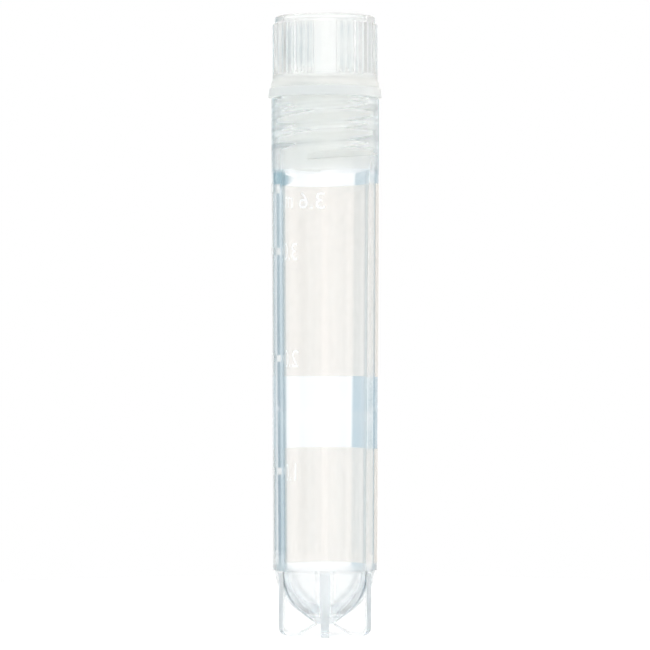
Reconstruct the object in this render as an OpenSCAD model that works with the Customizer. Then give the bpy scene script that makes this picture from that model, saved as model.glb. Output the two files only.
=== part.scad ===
// Self-standing cryogenic storage vial: a round-bottomed tube on a star foot, with an internally
// threaded neck, a fluted screw cap and a silicone sealing ring. Z runs up the tube's axis, z = 0 is
// the surface that the foot stands on, and the middle of the writing panels faces +Y.

/* [Tube body] */
// Height of the tube's rim above the surface
rim_z = 62.5; // [50:0.5:80]
// Outer diameter of the body just below the neck
body_top_d = 12.5; // [12.3:0.05:12.7]
// Outer diameter of the body just above the round bottom
body_base_d = 12.1; // [11.9:0.05:12.4]
// Bore diameter in the neck, between the turns of the thread
bore_top_d = 10.2; // [10.15:0.05:10.4]
// Bore diameter at the top of the round bottom
bore_base_d = 9.6; // [9.2:0.05:10]
// Thickness of the round bottom on the axis
floor_t = 1.9; // [1.2:0.1:3]

/* [Neck] */
// Outer diameter of the neck
neck_d = 12.6; // [12.5:0.05:13]
// Length of the neck below the rim
neck_len = 8.2; // [6:0.1:12]
// Height of the taper from the body out to the neck
neck_taper = 0.8; // [0.3:0.1:2]
// Bevel around the outside of the rim
rim_bevel = 0.15; // [0.05:0.05:0.3]

/* [Round bottom and star foot] */
// Step in from the body's wall to the round bottom, on the radius
bowl_step = 0.25; // [0.1:0.05:0.4]
// Height of the round bottom's centre
bowl_z = 7.5; // [7:0.1:9]
// Slope of the cone that ends the round bottom, from the horizontal
tip_angle = 36; // [30:1:45]
// Height of the flat tip above the surface
tip_z = 1.2; // [0.6:0.1:1.6]
// Number of ribs in the star foot
rib_count = 6; // [3:1:8]
// Diameter across the ribs' outer edges
foot_d = 11.8; // [11.3:0.05:11.85]
// Thickness of a rib where it stands on the surface
rib_foot_t = 0.95; // [0.6:0.05:1.4]
// Thickness of a rib at its top
rib_top_t = 1.15; // [0.8:0.05:1.6]
// Radius at which the ribs' flat feet start
foot_inner_r = 3.6; // [2.5:0.1:4.2]
// Radius at which the ribs' undersides meet the tip
rib_root_r = 1.3; // [1:0.1:2]
// Radius of the ribs' outer lower corners
foot_corner_r = 1; // [0.3:0.1:1.4]

/* [Thread] */
// Rise of the right-hand thread in one turn
thread_pitch = 2.25; // [2:0.05:3]
// Diameter over the cap's thread
thread_d = 11; // [10.6:0.05:11.2]
// Number of turns of the cap's thread
thread_turns = 2.7; // [1.5:0.1:2.8]
// Height of the thread's first turn above the plug's end
thread_start = 0.8; // [0.75:0.05:1.5]
// Direction in which the cap's thread starts, from +X
thread_start_angle = 230; // [0:5:355]
// Width of the thread at its crest
thread_crest_w = 0.6; // [0.4:0.05:0.8]
// Width of the thread where it leaves the plug
thread_root_w = 1; // [0.8:0.05:1.2]
// Clearance between the cap's thread and the neck's, on every side
thread_clear = 0.1; // [0.06:0.01:0.15]

/* [Cap] */
// Height of the cap above the sealing ring
cap_h = 8.35; // [6:0.05:12]
// Diameter of the cap's grip
grip_d = 12.26; // [12:0.02:12.5]
// Diameter of the flange at its widest
flange_d = 12.56; // [12.4:0.02:13]
// Height of the flange's straight edge
flange_h = 0.55; // [0.3:0.05:1]
// Height of the taper from the flange up to the grip
flange_taper = 0.4; // [0.2:0.05:0.8]
// Diameter of the lip above the grip
lip_d = 11.7; // [11.4:0.05:12]
// Height of the lip
lip_h = 0.9; // [0.5:0.05:1.4]
// Rounding of the lip's edges
lip_round = 0.3; // [0.1:0.05:0.4]
// Bevel at the top of the grip
grip_bevel = 0.14; // [0.05:0.01:0.14]
// Diameter of the open recess in the cap's top
recess_d = 9.8; // [9:0.05:10.2]
// Thickness of the web between the recess and the hollow of the plug
web_t = 1.3; // [0.8:0.1:1.4]
// Height of the recess's floor above the sealing ring
recess_floor_h = 0.85; // [0.4:0.05:1]

/* [Flutes of the cap's grip] */
// Number of fluted fields around the grip
field_count = 4; // [2:1:4]
// Number of flutes in a field
flutes_in_field = 8; // [3:1:8]
// Angle from one flute to the next
flute_angle = 8; // [6:0.5:8]
// Radius of a flute
flute_r = 0.35; // [0.25:0.01:0.36]
// Depth of a flute
flute_depth = 0.24; // [0.1:0.01:0.25]
// Height of the flutes' lower ends above the flange's taper
flute_start = 0.3; // [0.1:0.05:1]

/* [Plug and sealing ring] */
// Diameter of the plug under its thread
plug_d = 9.8; // [9.6:0.05:10]
// Length of the plug below the tube's rim
plug_len = 7.9; // [7.6:0.1:9]
// Diameter of the hollow in the plug
plug_hollow_d = 7.1; // [6:0.1:8]
// Bevel at the plug's end
plug_bevel = 0.3; // [0.1:0.05:0.5]
// Height of the sealing ring
ring_h = 1.15; // [0.8:0.05:1.6]
// Outer diameter of the sealing ring at its top
ring_top_d = 13; // [12.8:0.05:13.1]
// Outer diameter of the sealing ring at its bottom
ring_base_d = 13.24; // [13.1:0.02:13.6]
// Clearance between the sealing ring and the plug, on the radius
ring_clear = 0.1; // [0.05:0.01:0.2]

/* [Print] */
// Thickness of the printed film
film_t = 0.05; // [0.03:0.01:0.1]
// Gap that keeps the film clear of the tube's wall
film_gap = 0.01; // [0.01:0.01:0.03]
// Direction in which the writing panels start, from +X
panel_start_angle = -20; // [-30:1:30]
// Angle that the writing panels cover around the tube
panel_span = 190; // [90:1:200]
// Height of the lower writing panel's lower edge
lower_panel_z = 8.4; // [8.2:0.1:12]
// Height of the lower writing panel
lower_panel_h = 13.2; // [8:0.1:16]
// Height of the clear stretch between the two panels
panel_gap = 8.4; // [2:0.1:12]
// Height of the upper writing panel
upper_panel_h = 22.5; // [10:0.1:23]
// Angle that a graduation mark covers around the tube
mark_span = 23; // [10:1:40]
// Angle between the panels' edge and the graduation marks
mark_gap = 1; // [0.5:0.5:3]
// Width of a graduation mark
mark_w = 0.6; // [0.3:0.05:0.9]
// Heights of the graduation marks
mark_heights = [18.75, 32.1, 44.7, 52.05];

/* [Hidden] */
$fn = 96;
eps = 0.01;
// Distance by which cuts run past the faces they open
over = 1;

body_top_r = body_top_d / 2;
body_base_r = body_base_d / 2;
bore_top_r = bore_top_d / 2;
bore_base_r = bore_base_d / 2;
neck_r = neck_d / 2;
neck_z = rim_z - neck_len;
body_top_z = neck_z - neck_taper;
bowl_r = body_base_r - bowl_step;
bowl_tangent = [bowl_r * sin(tip_angle), bowl_z - bowl_r * cos(tip_angle)];
tip_r = bowl_tangent.x - (bowl_tangent.y - tip_z) / tan(tip_angle);
bore_z = tip_z + floor_t + bore_base_r;
foot_r = foot_d / 2;

grip_r = grip_d / 2;
flange_r = flange_d / 2;
lip_r = lip_d / 2;
plug_r = plug_d / 2;
plug_z = rim_z - plug_len;
ring_top_z = rim_z + ring_h;
flange_top_z = ring_top_z + flange_h;
grip_z = flange_top_z + flange_taper;
cap_top_z = ring_top_z + cap_h;
lip_z = cap_top_z - lip_h;
recess_z = ring_top_z + recess_floor_h;
hollow_top_z = recess_z - web_t;

thread_r = thread_d / 2;
groove_r = thread_r + thread_clear;
thread_z = plug_z + thread_start;
// Angle between the rings of points that a thread is built from
thread_step = 10;
// Angle over which a thread's ends run out
thread_fade = 40;
// Depth by which a thread's ridge is rooted in what carries it
thread_bury = 0.3;
// Angle by which the neck's thread reaches past the lower end of the cap's
groove_lead = 50;
groove_turn_angle = 360 * (rim_z + thread_pitch - thread_z) / thread_pitch;

upper_panel_z = lower_panel_z + lower_panel_h + panel_gap;
mark_start_angle = panel_start_angle + panel_span + mark_gap;

// Points of an arc about a centre, from angle a0 to a1
function arc(centre, r, a0, a1, steps = 6) =
    [for (i = [0:steps]) let (a = a0 + (a1 - a0) * i / steps) centre + r * [cos(a), sin(a)]];

// Radius of the body's tapered wall at height z
function wall_r(z) =
    body_base_r + (body_top_r - body_base_r) * (z - bowl_z) / (body_top_z - bowl_z);

// Ridge of a right-hand thread, with ends that fade into the core over thread_fade degrees. It rises
// from height z0 at angle a0 through the angle turn. Each ring has four corners: two at the root
// radius and two at the crest.
module thread_ridge(root_r, crest_r, root_w, crest_w, z0, a0, turn) {
    steps = ceil(turn / thread_step);
    function fade(a) = min(1, 0.02 + a / thread_fade, 0.02 + (turn - a) / thread_fade);
    function ring(a) =
        let (
            r = root_r + (crest_r - root_r) * fade(a),
            w = root_w + (crest_w - root_w) * fade(a),
            z = z0 + thread_pitch * a / 360
        )
        [
            for (c = [[root_r, -root_w], [r, -w], [r, w], [root_r, root_w]])
                [c[0] * cos(a0 + a), c[0] * sin(a0 + a), z + c[1] / 2]
        ];
    points = [for (i = [0:steps]) each ring(turn * i / steps)];
    sides = [
        for (i = [0:steps - 1], k = [0:3])
            let (p = 4 * i + k, q = 4 * i + (k + 1) % 4)
            each [[p, q, p + 4], [q, q + 4, p + 4]]
    ];
    last = 4 * steps;
    ends = [[3, 2, 1, 0], [last, last + 1, last + 2, last + 3]];
    polyhedron(points, concat(sides, ends), convexity = 8);
}

// Half-section of the tube's outside: a tapered body, a neck, and a round bottom with a cone under it
module tube_outer_section() {
    polygon([
        [0, bowl_z], [body_base_r, bowl_z], [body_top_r, body_top_z], [neck_r, neck_z],
        [neck_r, rim_z - rim_bevel], [neck_r - rim_bevel, rim_z], [0, rim_z]
    ]);
    intersection() {
        translate([0, bowl_z]) circle(bowl_r);
        translate([0, tip_z]) square([bowl_r, bowl_z - tip_z + eps]);
    }
    polygon([[0, bowl_z], [0, tip_z], [tip_r, tip_z], bowl_tangent]);
}

// Half-section of the space inside the tube
module bore_section() {
    intersection() {
        translate([0, bore_z]) circle(bore_base_r);
        translate([0, bore_z - bore_base_r - over]) square([bore_base_r, bore_base_r + over + eps]);
    }
    polygon([
        [0, bore_z], [bore_base_r, bore_z], [bore_top_r, body_top_z],
        [bore_top_r, rim_z + over], [0, rim_z + over]
    ]);
}

// Side view of one rib, with its outer lower corner rounded
module rib_section() {
    polygon([
        [rib_root_r, tip_z], [foot_inner_r, 0], [foot_r - foot_corner_r, 0],
        [foot_r, foot_corner_r], [foot_r, bowl_z + eps * 10], [rib_root_r, bowl_z + eps * 10]
    ]);
    translate([foot_r - foot_corner_r, foot_corner_r]) circle(foot_corner_r);
}

// One rib of the star foot along +X, thinner at the foot than at the top
module rib() {
    intersection() {
        rotate([90, 0, 0]) linear_extrude(rib_top_t * 2, center = true) rib_section();
        rotate([90, 0, 90]) linear_extrude(foot_d) polygon([
            [-rib_foot_t / 2, 0], [rib_foot_t / 2, 0],
            [rib_top_t / 2, bowl_z + over], [-rib_top_t / 2, bowl_z + over]
        ]);
    }
}

module vial_tube() {
    color([0.86, 0.93, 0.96, 0.45])
    difference() {
        union() {
            rotate_extrude() tube_outer_section();
            for (i = [0:rib_count - 1])
                rotate(360 * i / rib_count - 90) rib();
        }
        rotate_extrude() bore_section();
        thread_ridge(
            bore_top_r - thread_bury, groove_r, thread_root_w + 2 * thread_clear,
            thread_crest_w + 2 * thread_clear, thread_z - thread_pitch * groove_lead / 360,
            thread_start_angle - groove_lead, groove_turn_angle + groove_lead
        );
    }
}

// Half-section of the cap's body: plug, flange, grip and lip, before it is hollowed
module cap_section() {
    polygon(concat(
        [
            [0, plug_z], [plug_r - plug_bevel, plug_z], [plug_r, plug_z + plug_bevel],
            [plug_r, ring_top_z], [flange_r, ring_top_z], [flange_r, flange_top_z],
            [grip_r, grip_z], [grip_r, lip_z - grip_bevel], [grip_r - grip_bevel, lip_z],
            [lip_r, lip_z]
        ],
        arc([lip_r - lip_round, cap_top_z - lip_round], lip_round, 0, 90),
        arc([recess_d / 2 + lip_round, cap_top_z - lip_round], lip_round, 90, 180),
        [[recess_d / 2, recess_z], [0, recess_z]]
    ));
}

// Cutter for one flute, at the grip's front and pointed at its lower end
module flute_cutter() {
    translate([grip_r + flute_r - flute_depth, 0, grip_z + flute_start])
    rotate_extrude() polygon([
        [0, 0], [flute_r, flute_r], [flute_r, lip_z + over - grip_z], [0, lip_z + over - grip_z]
    ]);
}

module screw_cap() {
    field_width = flute_angle * (flutes_in_field - 1);
    color([0.93, 0.97, 0.98, 0.55])
    difference() {
        union() {
            rotate_extrude() cap_section();
            thread_ridge(
                plug_r - thread_bury, thread_r, thread_root_w, thread_crest_w,
                thread_z, thread_start_angle, thread_turns * 360
            );
        }
        translate([0, 0, plug_z - over])
        cylinder(d = plug_hollow_d, h = hollow_top_z - plug_z + over);
        for (f = [0:field_count - 1], i = [0:flutes_in_field - 1])
            rotate(360 * (f + 0.5) / field_count - field_width / 2 + flute_angle * i)
            flute_cutter();
    }
}

module sealing_ring() {
    inner_r = plug_r + ring_clear;
    color([0.94, 0.95, 0.94])
    rotate_extrude() polygon([
        [inner_r, rim_z], [ring_base_d / 2, rim_z],
        [ring_top_d / 2, ring_top_z], [inner_r, ring_top_z]
    ]);
}

// A printed film on the tapered wall, from height z over height h, and from angle a through span
module film(z, h, a, span) {
    rotate(a) rotate_extrude(angle = span) polygon([
        [wall_r(z) + film_gap, z], [wall_r(z) + film_gap + film_t, z],
        [wall_r(z + h) + film_gap + film_t, z + h], [wall_r(z + h) + film_gap, z + h]
    ]);
}

module upper_writing_panel() {
    color("white") film(upper_panel_z, upper_panel_h, panel_start_angle, panel_span);
}

module lower_writing_panel() {
    color("white") film(lower_panel_z, lower_panel_h, panel_start_angle, panel_span);
}

module volume_marks() {
    color("white")
    for (z = mark_heights)
        film(z - mark_w / 2, mark_w, mark_start_angle, mark_span);
}

vial_tube();
screw_cap();
sealing_ring();
upper_writing_panel();
lower_writing_panel();
volume_marks();
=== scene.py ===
import math

import bmesh
import bpy
import numpy as np
from mathutils import Matrix


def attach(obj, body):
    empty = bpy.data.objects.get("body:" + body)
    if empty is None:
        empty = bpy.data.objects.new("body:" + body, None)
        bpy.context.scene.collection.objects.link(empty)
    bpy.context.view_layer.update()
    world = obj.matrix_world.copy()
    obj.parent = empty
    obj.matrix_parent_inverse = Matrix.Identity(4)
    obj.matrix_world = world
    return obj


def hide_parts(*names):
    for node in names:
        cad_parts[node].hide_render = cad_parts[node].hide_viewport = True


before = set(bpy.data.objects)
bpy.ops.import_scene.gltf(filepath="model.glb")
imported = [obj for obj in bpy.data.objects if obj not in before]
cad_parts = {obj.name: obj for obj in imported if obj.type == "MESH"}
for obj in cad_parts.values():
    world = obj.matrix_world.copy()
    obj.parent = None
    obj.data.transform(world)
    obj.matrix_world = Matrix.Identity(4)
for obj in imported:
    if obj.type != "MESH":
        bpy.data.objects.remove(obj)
bpy.context.view_layer.update()


# The tube: one clear polypropylene moulding, with a tapered body, an internally threaded neck, a
# round bottom and a star foot of six ribs. It is injection moulded in one shot, with a wall 1.2 mm
# thick, so its faces are glossy, with faint flow lines. Lengths are millimetres until finished().

MM = 0.001


def arc(centre, radius, start, end, count):
    """Points of a circular arc in a half-section: centre + radius * (cos a, sin a), a in degrees."""
    a = np.radians(np.linspace(start, end, count))
    return np.column_stack([centre[0] + radius * np.cos(a), centre[1] + radius * np.sin(a)])


def section(parts, step):
    """One half-section, rows of (radius, height), from a list of points and arcs. Points are added
    along its straight lines so that no line is longer than the step. Corners stay where they are."""
    points = np.vstack([np.atleast_2d(np.asarray(p, float)) for p in parts])
    keep = np.r_[True, np.hypot(*np.diff(points, axis=0).T) > 1e-4]
    points = points[keep]
    gaps = np.hypot(*np.diff(points, axis=0).T)
    rows = [np.linspace(points[i], points[i + 1], max(1, math.ceil(g / step)), endpoint=False)
            for i, g in enumerate(gaps)]
    return np.vstack(rows + [points[-1:]])


def quads(rows, columns, loop=False):
    """Faces of a grid whose columns close on themselves: a face joins a point to the next one in
    its row and to the two above them. The last row joins the first one where loop is set."""
    i, j = np.meshgrid(np.arange(rows - (not loop)), np.arange(columns), indexing="ij")
    k, m = (i + 1) % rows, (j + 1) % columns
    corners = np.stack([i * columns + j, i * columns + m, k * columns + m, k * columns + j], axis=-1)
    return corners.reshape(-1, 4)


def turned(name, r, z, angles, loop=False):
    """A surface turned about the Z axis. Row i and column j hold the point at radius r[i, j], height
    z[i, j] and direction angles[j]: x = r cos a, y = r sin a. Columns close on themselves. Rows close
    too where loop is set, and otherwise the first and last rows meet in one point on the axis."""
    points = np.stack([r * np.cos(angles), r * np.sin(angles), z], axis=-1).reshape(-1, 3)
    mesh = bpy.data.meshes.new(name)
    mesh.from_pydata(points.tolist(), [], quads(*r.shape, loop).tolist())
    return finished(name, mesh)


def finished(name, mesh, smooth=35):
    """Merges doubled points, points the faces outwards, takes millimetres to metres, and shades
    smooth, with edges left sharp where two faces meet at more than the angle smooth."""
    work = bmesh.new()
    work.from_mesh(mesh)
    bmesh.ops.remove_doubles(work, verts=work.verts, dist=1e-4)
    bmesh.ops.dissolve_degenerate(work, edges=work.edges, dist=1e-5)
    bmesh.ops.recalc_face_normals(work, faces=work.faces)
    if work.calc_volume(signed=True) < 0:
        bmesh.ops.reverse_faces(work, faces=work.faces)
    bmesh.ops.scale(work, vec=(MM, MM, MM), verts=work.verts)
    work.to_mesh(mesh)
    work.free()
    mesh.shade_smooth()
    mesh.set_sharp_from_angle(angle=math.radians(smooth))
    piece = bpy.data.objects.new(name, mesh)
    bpy.context.scene.collection.objects.link(piece)
    return piece


def helix(z, angles, start_z, start_angle, turn, crest_w, root_w, fade):
    """How far a trapezoid thread stands out, from 0 to 1, at height z and direction angles. Its
    centre line starts at start_z and start_angle, rises by the pitch in one turn, and goes on for the
    angle turn. The share s of the way up the flank follows from the height between z and the nearest
    turn, against half of the root's and the crest's widths. The result is s - 0.05 sin(2 pi s), which
    eases the shoulders, and both ends run out over the angle fade."""
    first = np.mod(np.degrees(angles) - start_angle, 360)[None, :]
    level = (z - start_z) / thread_pitch * 360
    along = first + 360 * np.round((level - first) / 360)
    off = np.abs(level - along) * thread_pitch / 360
    flank = np.clip((root_w / 2 - off) / ((root_w - crest_w) / 2), 0, 1)
    ends = np.clip(np.minimum(along, turn - along) / fade, 0, 1)
    return (flank - 0.05 * np.sin(2 * math.pi * flank)) * ends * ends * (3 - 2 * ends)


thread_pitch = 2.25
body_r, top_r, neck_r, bowl_r, bore_r, bore_top_r = 6.05, 6.25, 6.3, 5.8, 4.8, 5.1
tip_z, bowl_z, bore_z, top_z, rim_z = 1.2, 7.5, 7.9, 53.5, 62.5
lip_out, lip_in, step_edge, step_z, groove_depth, columns = 0.18, 0.08, 0.04, 7.56, 0.5, 288
mould_ring = [[6.129, 25.75], [6.141, 25.92], [6.142, 26.08], [6.131, 26.25]]
shoulder = [[top_r, top_z], [6.265, 53.6], [6.29, 54.2], [neck_r, 54.32]]
lip = (bore_top_r + lip_in, rim_z - lip_in)

# The bore's rows lie close together down to this height, so that they can carry the groove.
fine_down_to = top_z + (lip[1] - top_z) / 3
groove_rows = section([[lip[0], rim_z], [bore_top_r, fine_down_to]], 0.06)
half = section([
    [0, tip_z], [1.19, tip_z], arc((0, bowl_z), bowl_r, -54, -0.5, 40), [5.83, bowl_z], [6.0, 7.52],
    arc((body_r - step_edge, step_z), step_edge, -90, 0, 4), mould_ring, shoulder, [neck_r, 62.3],
    arc((neck_r - lip_out, rim_z - lip_out), lip_out, 0, 90, 6), arc(lip, lip_in, 90, 180, 4),
    groove_rows[groove_rows[:, 1] < 62.3],
    [bore_top_r, top_z], [bore_r, bore_z], arc((0, bore_z), bore_r, -1, -90, 60),
], 3)
angles = np.linspace(0, 2 * math.pi, columns, endpoint=False)
z = np.repeat(half[:, 1:], columns, axis=1)
groove = helix(z, angles, 55.0875, 180, turn=1546, crest_w=0.6, root_w=2.24, fade=85)
on_bore = (half[:, 0] < 5.3) & (half[:, 1] > 54)
r = half[:, :1] + np.where(on_bore[:, None], groove * groove_depth, 0)
tube = turned("vial_tube_moulding", r, z, angles)


def rib(direction):
    """One rib of the star foot: its side view in the plane of the direction, carried through its
    thickness, which grows evenly with height. The outer lower corner has a radius of 1 mm."""
    inner, outer, foot_r, corner_r, thin, thick, thick_z = 1.3, 5.9, 3.6, 1, 0.95, 1.15, 8.5
    side = np.vstack([
        [[inner, tip_z], [foot_r, 0]], arc((outer - corner_r, corner_r), corner_r, -90, 0, 12),
        [[outer, step_z], [inner, step_z]],
    ])
    count = len(side)
    t = (thin + (thick - thin) * side[:, 1] / thick_z) / 2
    near = np.column_stack([side[:, 0], -t, side[:, 1]])
    far = np.column_stack([side[:, 0], t, side[:, 1]])
    c, s = math.cos(math.radians(direction)), math.sin(math.radians(direction))
    points = np.vstack([near, far]) @ np.array([[c, s, 0], [-s, c, 0], [0, 0, 1]])
    ends = [list(range(count))[::-1], list(range(count, 2 * count))]
    mesh = bpy.data.meshes.new("rib")
    mesh.from_pydata(points.tolist(), [], quads(2, count).tolist() + ends)
    return finished("rib", mesh)


for number in range(6):
    foot_rib = rib(-90 + 60 * number)
    joined = tube.modifiers.new("rib", "BOOLEAN")
    joined.operation, joined.solver, joined.object = "UNION", "EXACT", foot_rib
    bpy.context.view_layer.objects.active = tube
    with bpy.context.temp_override(object=tube, active_object=tube):
        bpy.ops.object.modifier_apply(modifier="rib")
    bpy.data.objects.remove(foot_rib)
tube.data.shade_smooth()
tube.data.set_sharp_from_angle(angle=math.radians(35))


class Socket:
    """A shader socket that can be used in sums: an operator adds the Math node that does it."""

    def __init__(self, tree, socket):
        self.tree, self.socket = tree, socket

    def node(self, kind, settings=None, output=0, **inputs):
        """Any other node: its type, its settings, and its inputs as values or sockets, by name or,
        as i0, i1 and so on, by number. Returns the output of the given name or number."""
        made = self.tree.nodes.new(kind)
        for key, value in (settings or {}).items():
            setattr(made, key, value)
        for key, value in inputs.items():
            port = made.inputs[int(key[1:]) if key[1:].isdigit() else key.replace("_", " ")]
            if isinstance(value, Socket):
                self.tree.links.new(value.socket, port)
            else:
                port.default_value = value
        return Socket(self.tree, made.outputs[output]) if len(made.outputs) else None

    def maths(self, operation, *values):
        """A Math node on these values, which are numbers or sockets."""
        return self.node("ShaderNodeMath", {"operation": operation},
                         **{f"i{n}": v for n, v in enumerate(values)})

    def mix(self, low, high):
        """The colour that goes from low to high as this value goes from 0 to 1. A Mix node's colours
        are its inputs 6 and 7 and its output 2, because other kinds of input share their names."""
        return self.node("ShaderNodeMix", {"data_type": "RGBA"}, 2, i0=self, i6=low, i7=high)

    def step(self, low, high):
        """0 below low, 1 above high, and a smooth rise between them."""
        return self.node("ShaderNodeMapRange", {"interpolation_type": "SMOOTHSTEP"},
                         Value=self, From_Min=low, From_Max=high)

    def __add__(self, other): return self.maths("ADD", self, other)
    def __radd__(self, other): return self.maths("ADD", other, self)
    def __sub__(self, other): return self.maths("SUBTRACT", self, other)
    def __rsub__(self, other): return self.maths("SUBTRACT", other, self)
    def __mul__(self, other): return self.maths("MULTIPLY", self, other)
    def __rmul__(self, other): return self.maths("MULTIPLY", other, self)


def shader(name):
    """A new material and a socket of it to start from: the Object coordinates."""
    made = bpy.data.materials.new(name)
    made.use_nodes = True
    made.node_tree.nodes.clear()
    return made, Socket(made.node_tree, None).node("ShaderNodeTexCoord", output="Object")


def noise(place, scale, detail):
    """A soft random pattern from 0 to 1, at so many blobs a metre, with finer ones laid over it."""
    return place.node("ShaderNodeTexNoise", Vector=place, Scale=scale, Detail=detail)


def milk(place, colour):
    """The cloudiness of a plastic: half of the light is scattered back, and half through."""
    return place.node("ShaderNodeMixShader", i0=0.5,
                      i1=place.node("ShaderNodeBsdfDiffuse", Color=colour),
                      i2=place.node("ShaderNodeBsdfTranslucent", Color=colour))


def covered(piece, material):
    """Gives a piece its one material."""
    piece.data.materials.clear()
    piece.data.materials.append(material)


clear, place = shader("clear_polypropylene")
streaks = noise(place.node("ShaderNodeMapping", Vector=place, Scale=(1, 1, 0.12)), 420, 3)
specks = noise(place, 1500, 2)
bump = place.node("ShaderNodeBump", Height=streaks, Strength=0.02, Distance=0.0002)
height = place.node("ShaderNodeSeparateXYZ", output="Z", Vector=place)
sideways = place.node("ShaderNodeVectorMath", {"operation": "MULTIPLY"}, i0=place, i1=(1, 1, 0))
radius = place.node("ShaderNodeVectorMath", {"operation": "LENGTH"}, "Value", i0=sideways)
on_wall, on_bottom = height.step(0.006, 0.009), 1 - height.step(0.0078, 0.0088)
in_neck = height.step(0.0538, 0.0545)
on_thread = in_neck * (1 - radius.step(0.0058, 0.0060))
on_rib_edge = radius.step(0.00584, 0.00588) * (1 - height.step(0.0072, 0.0074))
# Painted shade: the wall's Base Color goes towards a dark blue-grey where the wall is seen edge-on.
# This is strongest on the body, weaker in the neck and slight on the bottom, and there is also a
# little on the frosted rib edges. It stands in for the darker surroundings that the clear wall bends
# into its edges, and partly for the real tint of the long path through the wall.
facing = place.node("ShaderNodeLayerWeight", output="Facing", Blend=0.5)
painted_edge_shade = (facing.step(0.55, 0.64) * (on_wall - in_neck * 0.4)
           + facing.step(0.3, 0.6) * (1 - on_wall) * 0.1)
plastic, edge_shade_colour = streaks.mix((0.99, 0.995, 0.998, 1), (1, 1, 1, 1)), (0.32, 0.42, 0.47, 1)
shine = place.node(
    "ShaderNodeBsdfPrincipled", IOR=1.49, Transmission_Weight=1.0, Normal=bump,
    Base_Color=(painted_edge_shade * 0.82 + on_rib_edge * 0.1).mix(plastic, edge_shade_colour),
    Roughness=0.02 + specks * 0.03 + on_rib_edge * 0.42 + on_thread * 0.55 + on_bottom * 0.14)
cloud = 0.01 + streaks * 0.02 + (1 - on_wall) * 0.008 + on_rib_edge * 0.05
mixed = place.node("ShaderNodeMixShader", i0=cloud, i1=shine, i2=milk(place, (0.98, 0.985, 0.99, 1)))
depth = place.node("ShaderNodeVolumeAbsorption", Color=(0.62, 0.72, 0.77, 1), Density=32)
place.node("ShaderNodeOutputMaterial", Surface=mixed, Volume=depth)
covered(tube, clear)
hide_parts("vial_tube")
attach(tube, "vial")


# The writing panels, the graduation marks and their figures: white ink, screen-printed on the
# outside of the body. The figures are left clear of ink at one end of the panels, beside the marks.
# They read from the printed side and show mirrored through the tube from the other.

def film(name, plates, words=()):
    """A printed film. It is made flat, sideways by arc length on the wall counted from +X, upwards by
    height: plates are its rectangles, and the words are cut out of them. The flat film is cut every
    3 degrees and laid round the tapered wall: direction = arc length / wall radius, and distance from
    the axis = wall radius + gap + height above the flat."""
    thickness, gap, first_cut, last_cut, cut_step = 0.05, 0.012, -18, 192, 3
    flat = bmesh.new()
    for a0, a1, z0, z1 in plates:
        u0, u1 = math.radians(a0) * body_r, math.radians(a1) * body_r
        plate = bmesh.ops.create_cube(flat, size=1)["verts"]
        bmesh.ops.scale(flat, vec=(u1 - u0, z1 - z0, thickness), verts=plate)
        bmesh.ops.translate(flat, vec=((u0 + u1) / 2, (z0 + z1) / 2, thickness / 2), verts=plate)
    mesh = bpy.data.meshes.new(name)
    flat.to_mesh(mesh)
    holder = bpy.data.objects.new(name, mesh)
    bpy.context.scene.collection.objects.link(holder)
    for cutter in words:
        cut = holder.modifiers.new("figures", "BOOLEAN")
        cut.operation, cut.solver, cut.object = "DIFFERENCE", "EXACT", cutter
    bpy.context.view_layer.update()
    mesh = bpy.data.meshes.new_from_object(holder.evaluated_get(bpy.context.evaluated_depsgraph_get()))
    for leftover in (holder, *words):
        bpy.data.objects.remove(leftover)
    flat.clear()
    flat.from_mesh(mesh)
    for a in range(first_cut, last_cut + 1, cut_step):
        bmesh.ops.bisect_plane(
            flat, geom=flat.verts[:] + flat.edges[:] + flat.faces[:], dist=1e-5,
            plane_co=(math.radians(a) * body_r, 0, 0), plane_no=(1, 0, 0))
    flat.to_mesh(mesh)
    flat.free()
    points = np.empty(len(mesh.vertices) * 3)
    mesh.vertices.foreach_get("co", points)
    u, z, lift = points.reshape(-1, 3).T
    wall_r = body_r + (top_r - body_r) * (z - bowl_z) / (top_z - bowl_z)
    a, r = u / body_r, wall_r + gap + lift
    mesh.vertices.foreach_set("co", np.column_stack([r * np.cos(a), r * np.sin(a), z]).ravel())
    return finished(name, mesh, smooth=50)


def figures(words, right, z, height):
    """A row of figures as a cutter for a flat film. Their right-hand end, seen from outside the wall,
    lies at the direction right, and their foot at the height z. They are a little wider than the
    typeface draws them, whose figures are 0.7 of its size high."""
    figure_share, wide, reach, curve_steps = 0.7, 1.17, 0.2, 4
    text = bpy.data.curves.new("figures", "FONT")
    text.body, text.align_x, text.size = words, "RIGHT", height / figure_share
    text.extrude, text.resolution_u = reach, curve_steps
    holder = bpy.data.objects.new("figures", text)
    mesh = bpy.data.meshes.new_from_object(holder)
    bpy.data.objects.remove(holder)
    to_place = Matrix.Translation((math.radians(right) * body_r, z, 0))
    mesh.transform(to_place @ Matrix.Diagonal((wide, 1, 1, 1)))
    cutter = bpy.data.objects.new("figures", mesh)
    bpy.context.scene.collection.objects.link(cutter)
    return cutter


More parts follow.
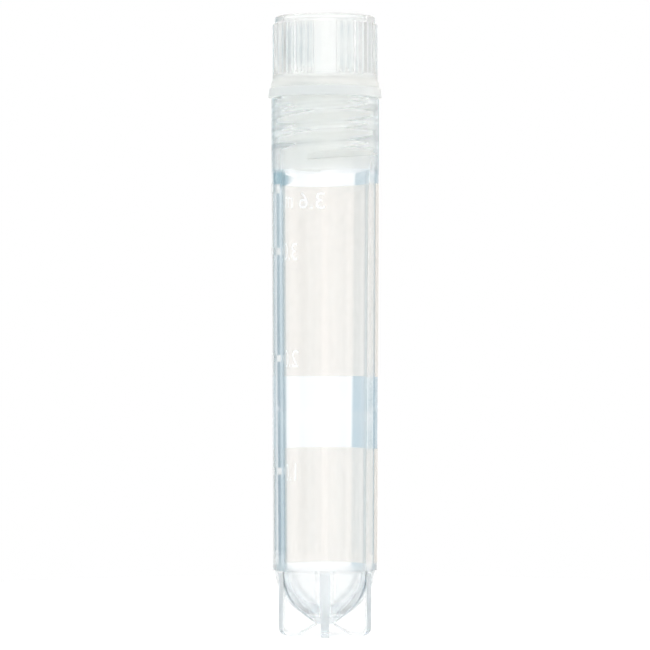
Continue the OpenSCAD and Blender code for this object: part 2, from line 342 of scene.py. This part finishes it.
def printed(name, tint_a, tint_b, through, clear):
    """Screen-printed white ink: cloudy and matt, with a mottled tone and a fine grain. Clear is the
    share of light that goes straight through each face of the thin film."""
    made, place = shader(name)
    mottle, grain = noise(place, 900, 4), noise(place, 5000, 1)
    bump = place.node("ShaderNodeBump", Height=grain, Strength=0.15, Distance=0.00002)
    front = place.node("ShaderNodeBsdfPrincipled", Base_Color=mottle.mix(tint_a, tint_b), IOR=1.45,
                       Roughness=0.5 + mottle * 0.2, Normal=bump)
    back = place.node("ShaderNodeBsdfTranslucent", Color=through)
    solid = place.node("ShaderNodeMixShader", i0=0.5, i1=front, i2=back)
    bare = place.node("ShaderNodeBsdfTransparent", Color=(1, 1, 1, 1))
    mixed = place.node("ShaderNodeMixShader", i0=clear - mottle * 0.1, i1=solid, i2=bare)
    place.node("ShaderNodeOutputMaterial", Surface=mixed)
    return made


panel_ink = printed("white_ink", tint_a=(0.98, 0.955, 0.93, 1), tint_b=(1, 0.98, 0.955, 1),
                    through=(1, 0.935, 0.87, 1), clear=0.6)
mark_ink = printed("white_mark_ink", tint_a=(0.96, 0.98, 0.98, 1), tint_b=(1, 1, 1, 1),
                   through=(1, 1, 1, 1), clear=0.15)

panel_arc, mark_arc, figure_end, figure_h = (-20, 170), (171, 194), 166, 2.07
marks = ((19.0, 0.8), (32.15, 0.75), (44.6, 0.8), (51.95, 1.1))
upper_panel = film("upper_writing_panel_ink", [(*panel_arc, 30, 52.5)], [
    figures("3.6 ml", 167, 49.8, 2.0),
    figures("3.0", figure_end, 43.67, figure_h),
    figures("2.0", figure_end, 31.07, figure_h),
])
lower_panel = film("lower_writing_panel_ink", [(*panel_arc, 8.4, 21.6)], [
    figures("1.0", figure_end, 17.72, figure_h),
])
mark_lines = film("volume_marks_ink", [(*mark_arc, z - w / 2, z + w / 2) for z, w in marks])
for piece, node, ink in (
    (upper_panel, "upper_writing_panel", panel_ink),
    (lower_panel, "lower_writing_panel", panel_ink),
    (mark_lines, "volume_marks", mark_ink),
):
    covered(piece, ink)
    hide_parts(node)
    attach(piece, "vial")


# The screw cap: one milky polypropylene moulding. A hollow plug with a right-hand thread goes into
# the neck, a flange sits on the sealing ring, and the grip has four fields of flutes and an open
# recess in its top. It is unscrewed from its mould.

plug_r, plug_end_z, hollow_r, hollow_top_z = 4.9, 54.6, 3.55, 63.2
flange_z, flange_r, grip_r, flute_z, grip_top_z, cap_z = 63.65, 6.28, 6.13, 64.9, 71.1, 72.0
recess_r, recess_z, lip_r, ridge_height = 4.9, 64.5, 5.85, 0.6
hollow_edge, plug_edge, flange_edge, grip_edge, lip_edge, recess_edge = 0.15, 0.3, 0.08, 0.12, 0.3, 0.1
flutes, flute_step, flute_half, flute_depth, flute_run = 8, 8, 3.08, 0.18, 0.35


def fluted(r, z, angles):
    """The grip's radius after its flutes are cut: each flute is one smooth cosine wave across, and
    grows from nothing at its pointed lower end. Four fields of eight flutes, 8 degrees apart, are
    centred between the smooth panels. The lip inside lip_side_r stays round."""
    lip_side_r = 6
    first = (flutes - 1) / 2 * flute_step
    in_field = np.mod(np.degrees(angles), 90) - 45
    nearest = np.clip(np.round((in_field + first) / flute_step), 0, flutes - 1) * flute_step - first
    off = np.abs(in_field - nearest)[None, :]
    grow = np.clip((z - flute_z) / flute_run, 1e-3, 1)
    wave = 0.5 + 0.5 * np.cos(math.pi * np.clip(off / (flute_half * grow), 0, 1))
    return r - flute_depth * grow * wave * (r > lip_side_r)


flute_rows = flute_z + np.array([0, 0.05, 0.1, 0.15, 0.2, 0.25, 0.3, 0.36])
half = section([
    [0, hollow_top_z], [3.5, hollow_top_z], [hollow_r, 63.1], [hollow_r, 54.75],
    arc((hollow_r + hollow_edge, plug_end_z + hollow_edge), hollow_edge, 180, 270, 4),
    [4.55, plug_end_z], arc((plug_r - plug_edge, plug_end_z + plug_edge), plug_edge, -90, 0, 5),
    section([[plug_r, plug_end_z + plug_edge], [plug_r, flange_z]], 0.07),
    arc((flange_r - flange_edge, flange_z + flange_edge), flange_edge, -90, 0, 4),
    [flange_r, 64.2], [grip_r, 64.6], np.column_stack([np.full(len(flute_rows), grip_r), flute_rows]),
    arc((grip_r - grip_edge, grip_top_z - grip_edge), grip_edge, 0, 90, 4),
    [lip_r + 0.02, grip_top_z], [lip_r, 71.13],
    arc((lip_r - lip_edge, cap_z - lip_edge), lip_edge, 0, 90, 6),
    arc((recess_r + lip_edge, cap_z - lip_edge), lip_edge, 90, 180, 6),
    [recess_r, recess_z + recess_edge],
    arc((recess_r - recess_edge, recess_z + recess_edge), recess_edge, 0, -90, 4), [0, recess_z],
], 3)
across = np.array([-4, -flute_half, -2.6, -2.0, -1.2, -0.4, 0.4, 1.2, 2.0, 2.6, flute_half])
centres = 45 + flute_step * (np.arange(flutes) - (flutes - 1) / 2)
smooth_panel = np.linspace(77, 103, 10, endpoint=False)
quarter = np.r_[(centres[:, None] + across).ravel(), smooth_panel]
angles = np.radians((quarter + 90 * np.arange(4)[:, None]).ravel())
z = np.repeat(half[:, 1:], len(angles), axis=1)
ridge = helix(z, angles, 55.4, 230, turn=972, crest_w=0.6, root_w=1.05, fade=40)
on_plug = (np.abs(half[:, 0] - plug_r) < 0.02) & (half[:, 1] < 62.5)
on_grip = (half[:, 0] > 5.86) & (half[:, 1] > 64.5)
r = half[:, :1] + np.where(on_plug[:, None], ridge * ridge_height, 0)
r = np.where(on_grip[:, None], fluted(r, z, angles), r)
cap = turned("screw_cap_moulding", r, z, angles)

milky, place = shader("cap_polypropylene")
height = place.node("ShaderNodeSeparateXYZ", output="Z", Vector=place)
cloud, fine = noise(place, 260, 3), noise(place, 2600, 2)
bump = place.node("ShaderNodeBump", Height=fine, Strength=0.05, Distance=0.00005)
in_plug, below_grip = 1 - height.step(0.0625, 0.0635), 1 - height.step(0.0640, 0.0655)
on_lip = height.step(0.07095, 0.0712)
shine = place.node(
    "ShaderNodeBsdfPrincipled", IOR=1.49, Transmission_Weight=1.0, Normal=bump,
    Base_Color=cloud.mix((0.98, 0.99, 0.995, 1), (0.99, 0.998, 1, 1)),
    Roughness=0.05 + cloud * 0.06 + in_plug * 0.3 + on_lip * 0.08)
cloudy = 0.12 + cloud * 0.1 + below_grip * 0.5 - on_lip * 0.08
mixed = place.node("ShaderNodeMixShader", i0=cloudy, i1=shine, i2=milk(place, (0.99, 0.99, 0.97, 1)))
place.node("ShaderNodeOutputMaterial", Surface=mixed)
covered(cap, milky)
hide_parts("screw_cap")
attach(cap, "cap")


# The sealing ring: a flat silicone washer, moulded in a translucent white, which is pushed up the
# plug and sits between the tube's rim and the cap's flange.

hole_r, low_r, high_r, low_z, high_z = 5.0, 6.62, 6.5, 62.52, 63.63
hole_edge, outer_edge, columns = 0.15, 0.12, 240
half = section([
    arc((hole_r + hole_edge, low_z + hole_edge), hole_edge, 180, 270, 4),
    arc((low_r - outer_edge, low_z + outer_edge), outer_edge, -90, 0, 5),
    arc((high_r - outer_edge, high_z - outer_edge), outer_edge, 0, 90, 5),
    arc((hole_r + hole_edge, high_z - hole_edge), hole_edge, 90, 180, 4), [hole_r, 62.7],
], 0.3)
angles = np.linspace(0, 2 * math.pi, columns, endpoint=False)
r, z = (np.repeat(half[:, k:k + 1], columns, axis=1) for k in (0, 1))
ring = turned("sealing_ring_washer", r, z, angles, loop=True)

rubber, place = shader("silicone")
cloud = noise(place, 500, 3)
front = place.node("ShaderNodeBsdfPrincipled", IOR=1.41, Roughness=0.3 + cloud * 0.1,
                   Base_Color=cloud.mix((0.96, 0.97, 0.965, 1), (0.98, 0.985, 0.98, 1)))
back = place.node("ShaderNodeBsdfTranslucent", Color=(0.97, 0.975, 0.97, 1))
mixed = place.node("ShaderNodeMixShader", i0=0.5, i1=front, i2=back)
place.node("ShaderNodeOutputMaterial", Surface=mixed)
covered(ring, rubber)
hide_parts("sealing_ring")
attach(ring, "seal")


# The floor: a round white table under the vial. It shows as plain white to the eye and to bent and
# mirrored rays, and keeps the vial's shadow.

floor_z, columns = -0.02, 96
radii = np.array([0.001, 4, 8, 14, 22, 34, 50, 70, 90])
spread = np.linspace(0, 2 * math.pi, columns, endpoint=False)
points = np.stack([np.outer(radii, np.cos(spread)), np.outer(radii, np.sin(spread)),
                   np.full((len(radii), columns), floor_z)], axis=-1).reshape(-1, 3) * MM
faces = quads(len(radii), columns)[:, ::-1].tolist() + [list(range(columns))]
floor_mesh = bpy.data.meshes.new("floor")
floor_mesh.from_pydata(points.tolist(), [], faces)
floor = bpy.data.objects.new("floor", floor_mesh)
bpy.context.scene.collection.objects.link(floor)


def ray_kind(start, name):
    """1 on light rays of this kind and 0 on the others."""
    return start.node("ShaderNodeLightPath", output=f"Is {name} Ray")


def bent_or_mirrored(start):
    """1 on rays that come out of a clear piece or off a glossy one, and 0 on the others."""
    return start.maths("MAXIMUM", ray_kind(start, "Glossy"), ray_kind(start, "Transmission"))


white, place = shader("white_floor")
seen = place.maths("MAXIMUM", ray_kind(place, "Camera"), bent_or_mirrored(place))
matte = place.node("ShaderNodeBsdfDiffuse", Color=(0.8, 0.8, 0.8, 1))
glow = place.node("ShaderNodeEmission", Color=(1, 1, 1, 1), Strength=seen * 0.34)
mixed = place.node("ShaderNodeAddShader", i0=matte, i1=glow)
place.node("ShaderNodeOutputMaterial", Surface=mixed)
covered(floor, white)


# The studio: a white room with a cool grey panel in each of its four corners, which the clear walls
# bend into their edges, and a soft box lamp. The panels are darker on the left than on the right.
# Only bent and mirrored rays see them. The eye sees white, and other light comes from a plain room.

world = bpy.data.worlds.new("studio")
bpy.context.scene.world = world
world.use_nodes = True
world.node_tree.nodes.clear()
way = Socket(world.node_tree, None).node("ShaderNodeTexCoord", output="Generated")
side, ahead, up = (way.node("ShaderNodeSeparateXYZ", output=axis, Vector=way) for axis in "XYZ")
down, rise = 0 - up, up.step(-0.09, 0.09)
at_cap, at_foot = up.step(0.068, 0.078), down.step(0.0745, 0.085)

# The compass angle from straight ahead, folded into quarters of the room that each go from -6 to 84.
# A panel covers 8 to 63 of a quarter, and reaches further round at the height of the cap.
degrees = way.maths("ARCTAN2", side, ahead) * (180 / math.pi)
folded = way.maths("WRAP", degrees, 84, -6)
on_panel = folded.step(7, 8.6) * (1 - (folded - at_cap * 14).step(58, 68))
strip = rise.mix((0.54, 0.68, 0.76, 1), (0.64, 0.73, 0.77, 1))
off_middle = way.maths("ABSOLUTE", folded - 38).step(7, 13)
pale = off_middle.mix((0.56, 0.67, 0.71, 1), (0.76, 0.88, 0.92, 1))
right = folded.step(22, 25).mix(strip, rise.mix(pale, (1, 1, 1, 1)))
left = folded.step(42, 50).mix(rise.mix((0.55, 0.67, 0.73, 1), (0.74, 0.84, 0.88, 1)),
                               rise.mix((0.28, 0.38, 0.45, 1), (0.44, 0.56, 0.61, 1)))
both = side.step(-0.04, 0.04).mix(at_cap.mix(left, (0.34, 0.51, 0.58, 1)), right)
level = at_foot.mix(both, (0.8, 0.85, 0.88, 1))
high_or_low = way.maths("MAXIMUM", up.step(0.20, 0.34), down.step(0.13, 0.28))
patterned = on_panel.mix((1.12, 1.12, 1.12, 1), high_or_low.mix(level, (1, 1, 1, 1)))

# The plain room is warm white behind the vial, and a cooler white in front, greyer on the left.
front = side.step(-0.9, 0.4).mix((0.58, 0.65, 0.69, 1), (0.93, 0.95, 0.97, 1))
plain = ahead.step(-0.4, 0.8).mix(front, (1.11, 1.03, 0.95, 1))
bent = bent_or_mirrored(way) * (1 - ray_kind(way, "Diffuse"))
room = ray_kind(way, "Camera").mix(bent.mix(plain, patterned), (1, 1, 1, 1))
sky = way.node("ShaderNodeBackground", Color=room, Strength=1.0)
way.node("ShaderNodeOutputWorld", Surface=sky)

lamp = bpy.data.lights.new("soft_box", "AREA")
lamp.shape, lamp.size, lamp.size_y, lamp.energy = "RECTANGLE", 0.35, 0.35, 0.35
lamp_object = bpy.data.objects.new("soft_box", lamp)
lamp_object.location = (-0.25, -0.25, 0.45)
lamp_object.rotation_euler = (0.65, 0, -math.pi / 4)
bpy.context.scene.collection.objects.link(lamp_object)


# The camera: a long lens on the tube's mid height, straight from the front. Light may bend many
# times, because a ray crosses up to a dozen clear faces.

camera = bpy.data.cameras.new("camera")
camera.lens, camera.sensor_width, camera.clip_start = 185, 36, 0.01
camera_object = bpy.data.objects.new("camera", camera)
camera_object.location = (0, -0.390, 0.03604)
camera_object.rotation_euler = (math.pi / 2, 0, 0)
bpy.context.scene.collection.objects.link(camera_object)
bpy.context.scene.camera = camera_object
bpy.context.scene.view_settings.view_transform = "Standard"
light_paths = bpy.context.scene.cycles
light_paths.max_bounces, light_paths.diffuse_bounces = 64, 16
light_paths.glossy_bounces, light_paths.transmission_bounces = 64, 64
light_paths.blur_glossy = 0

bpy.context.view_layer.update()
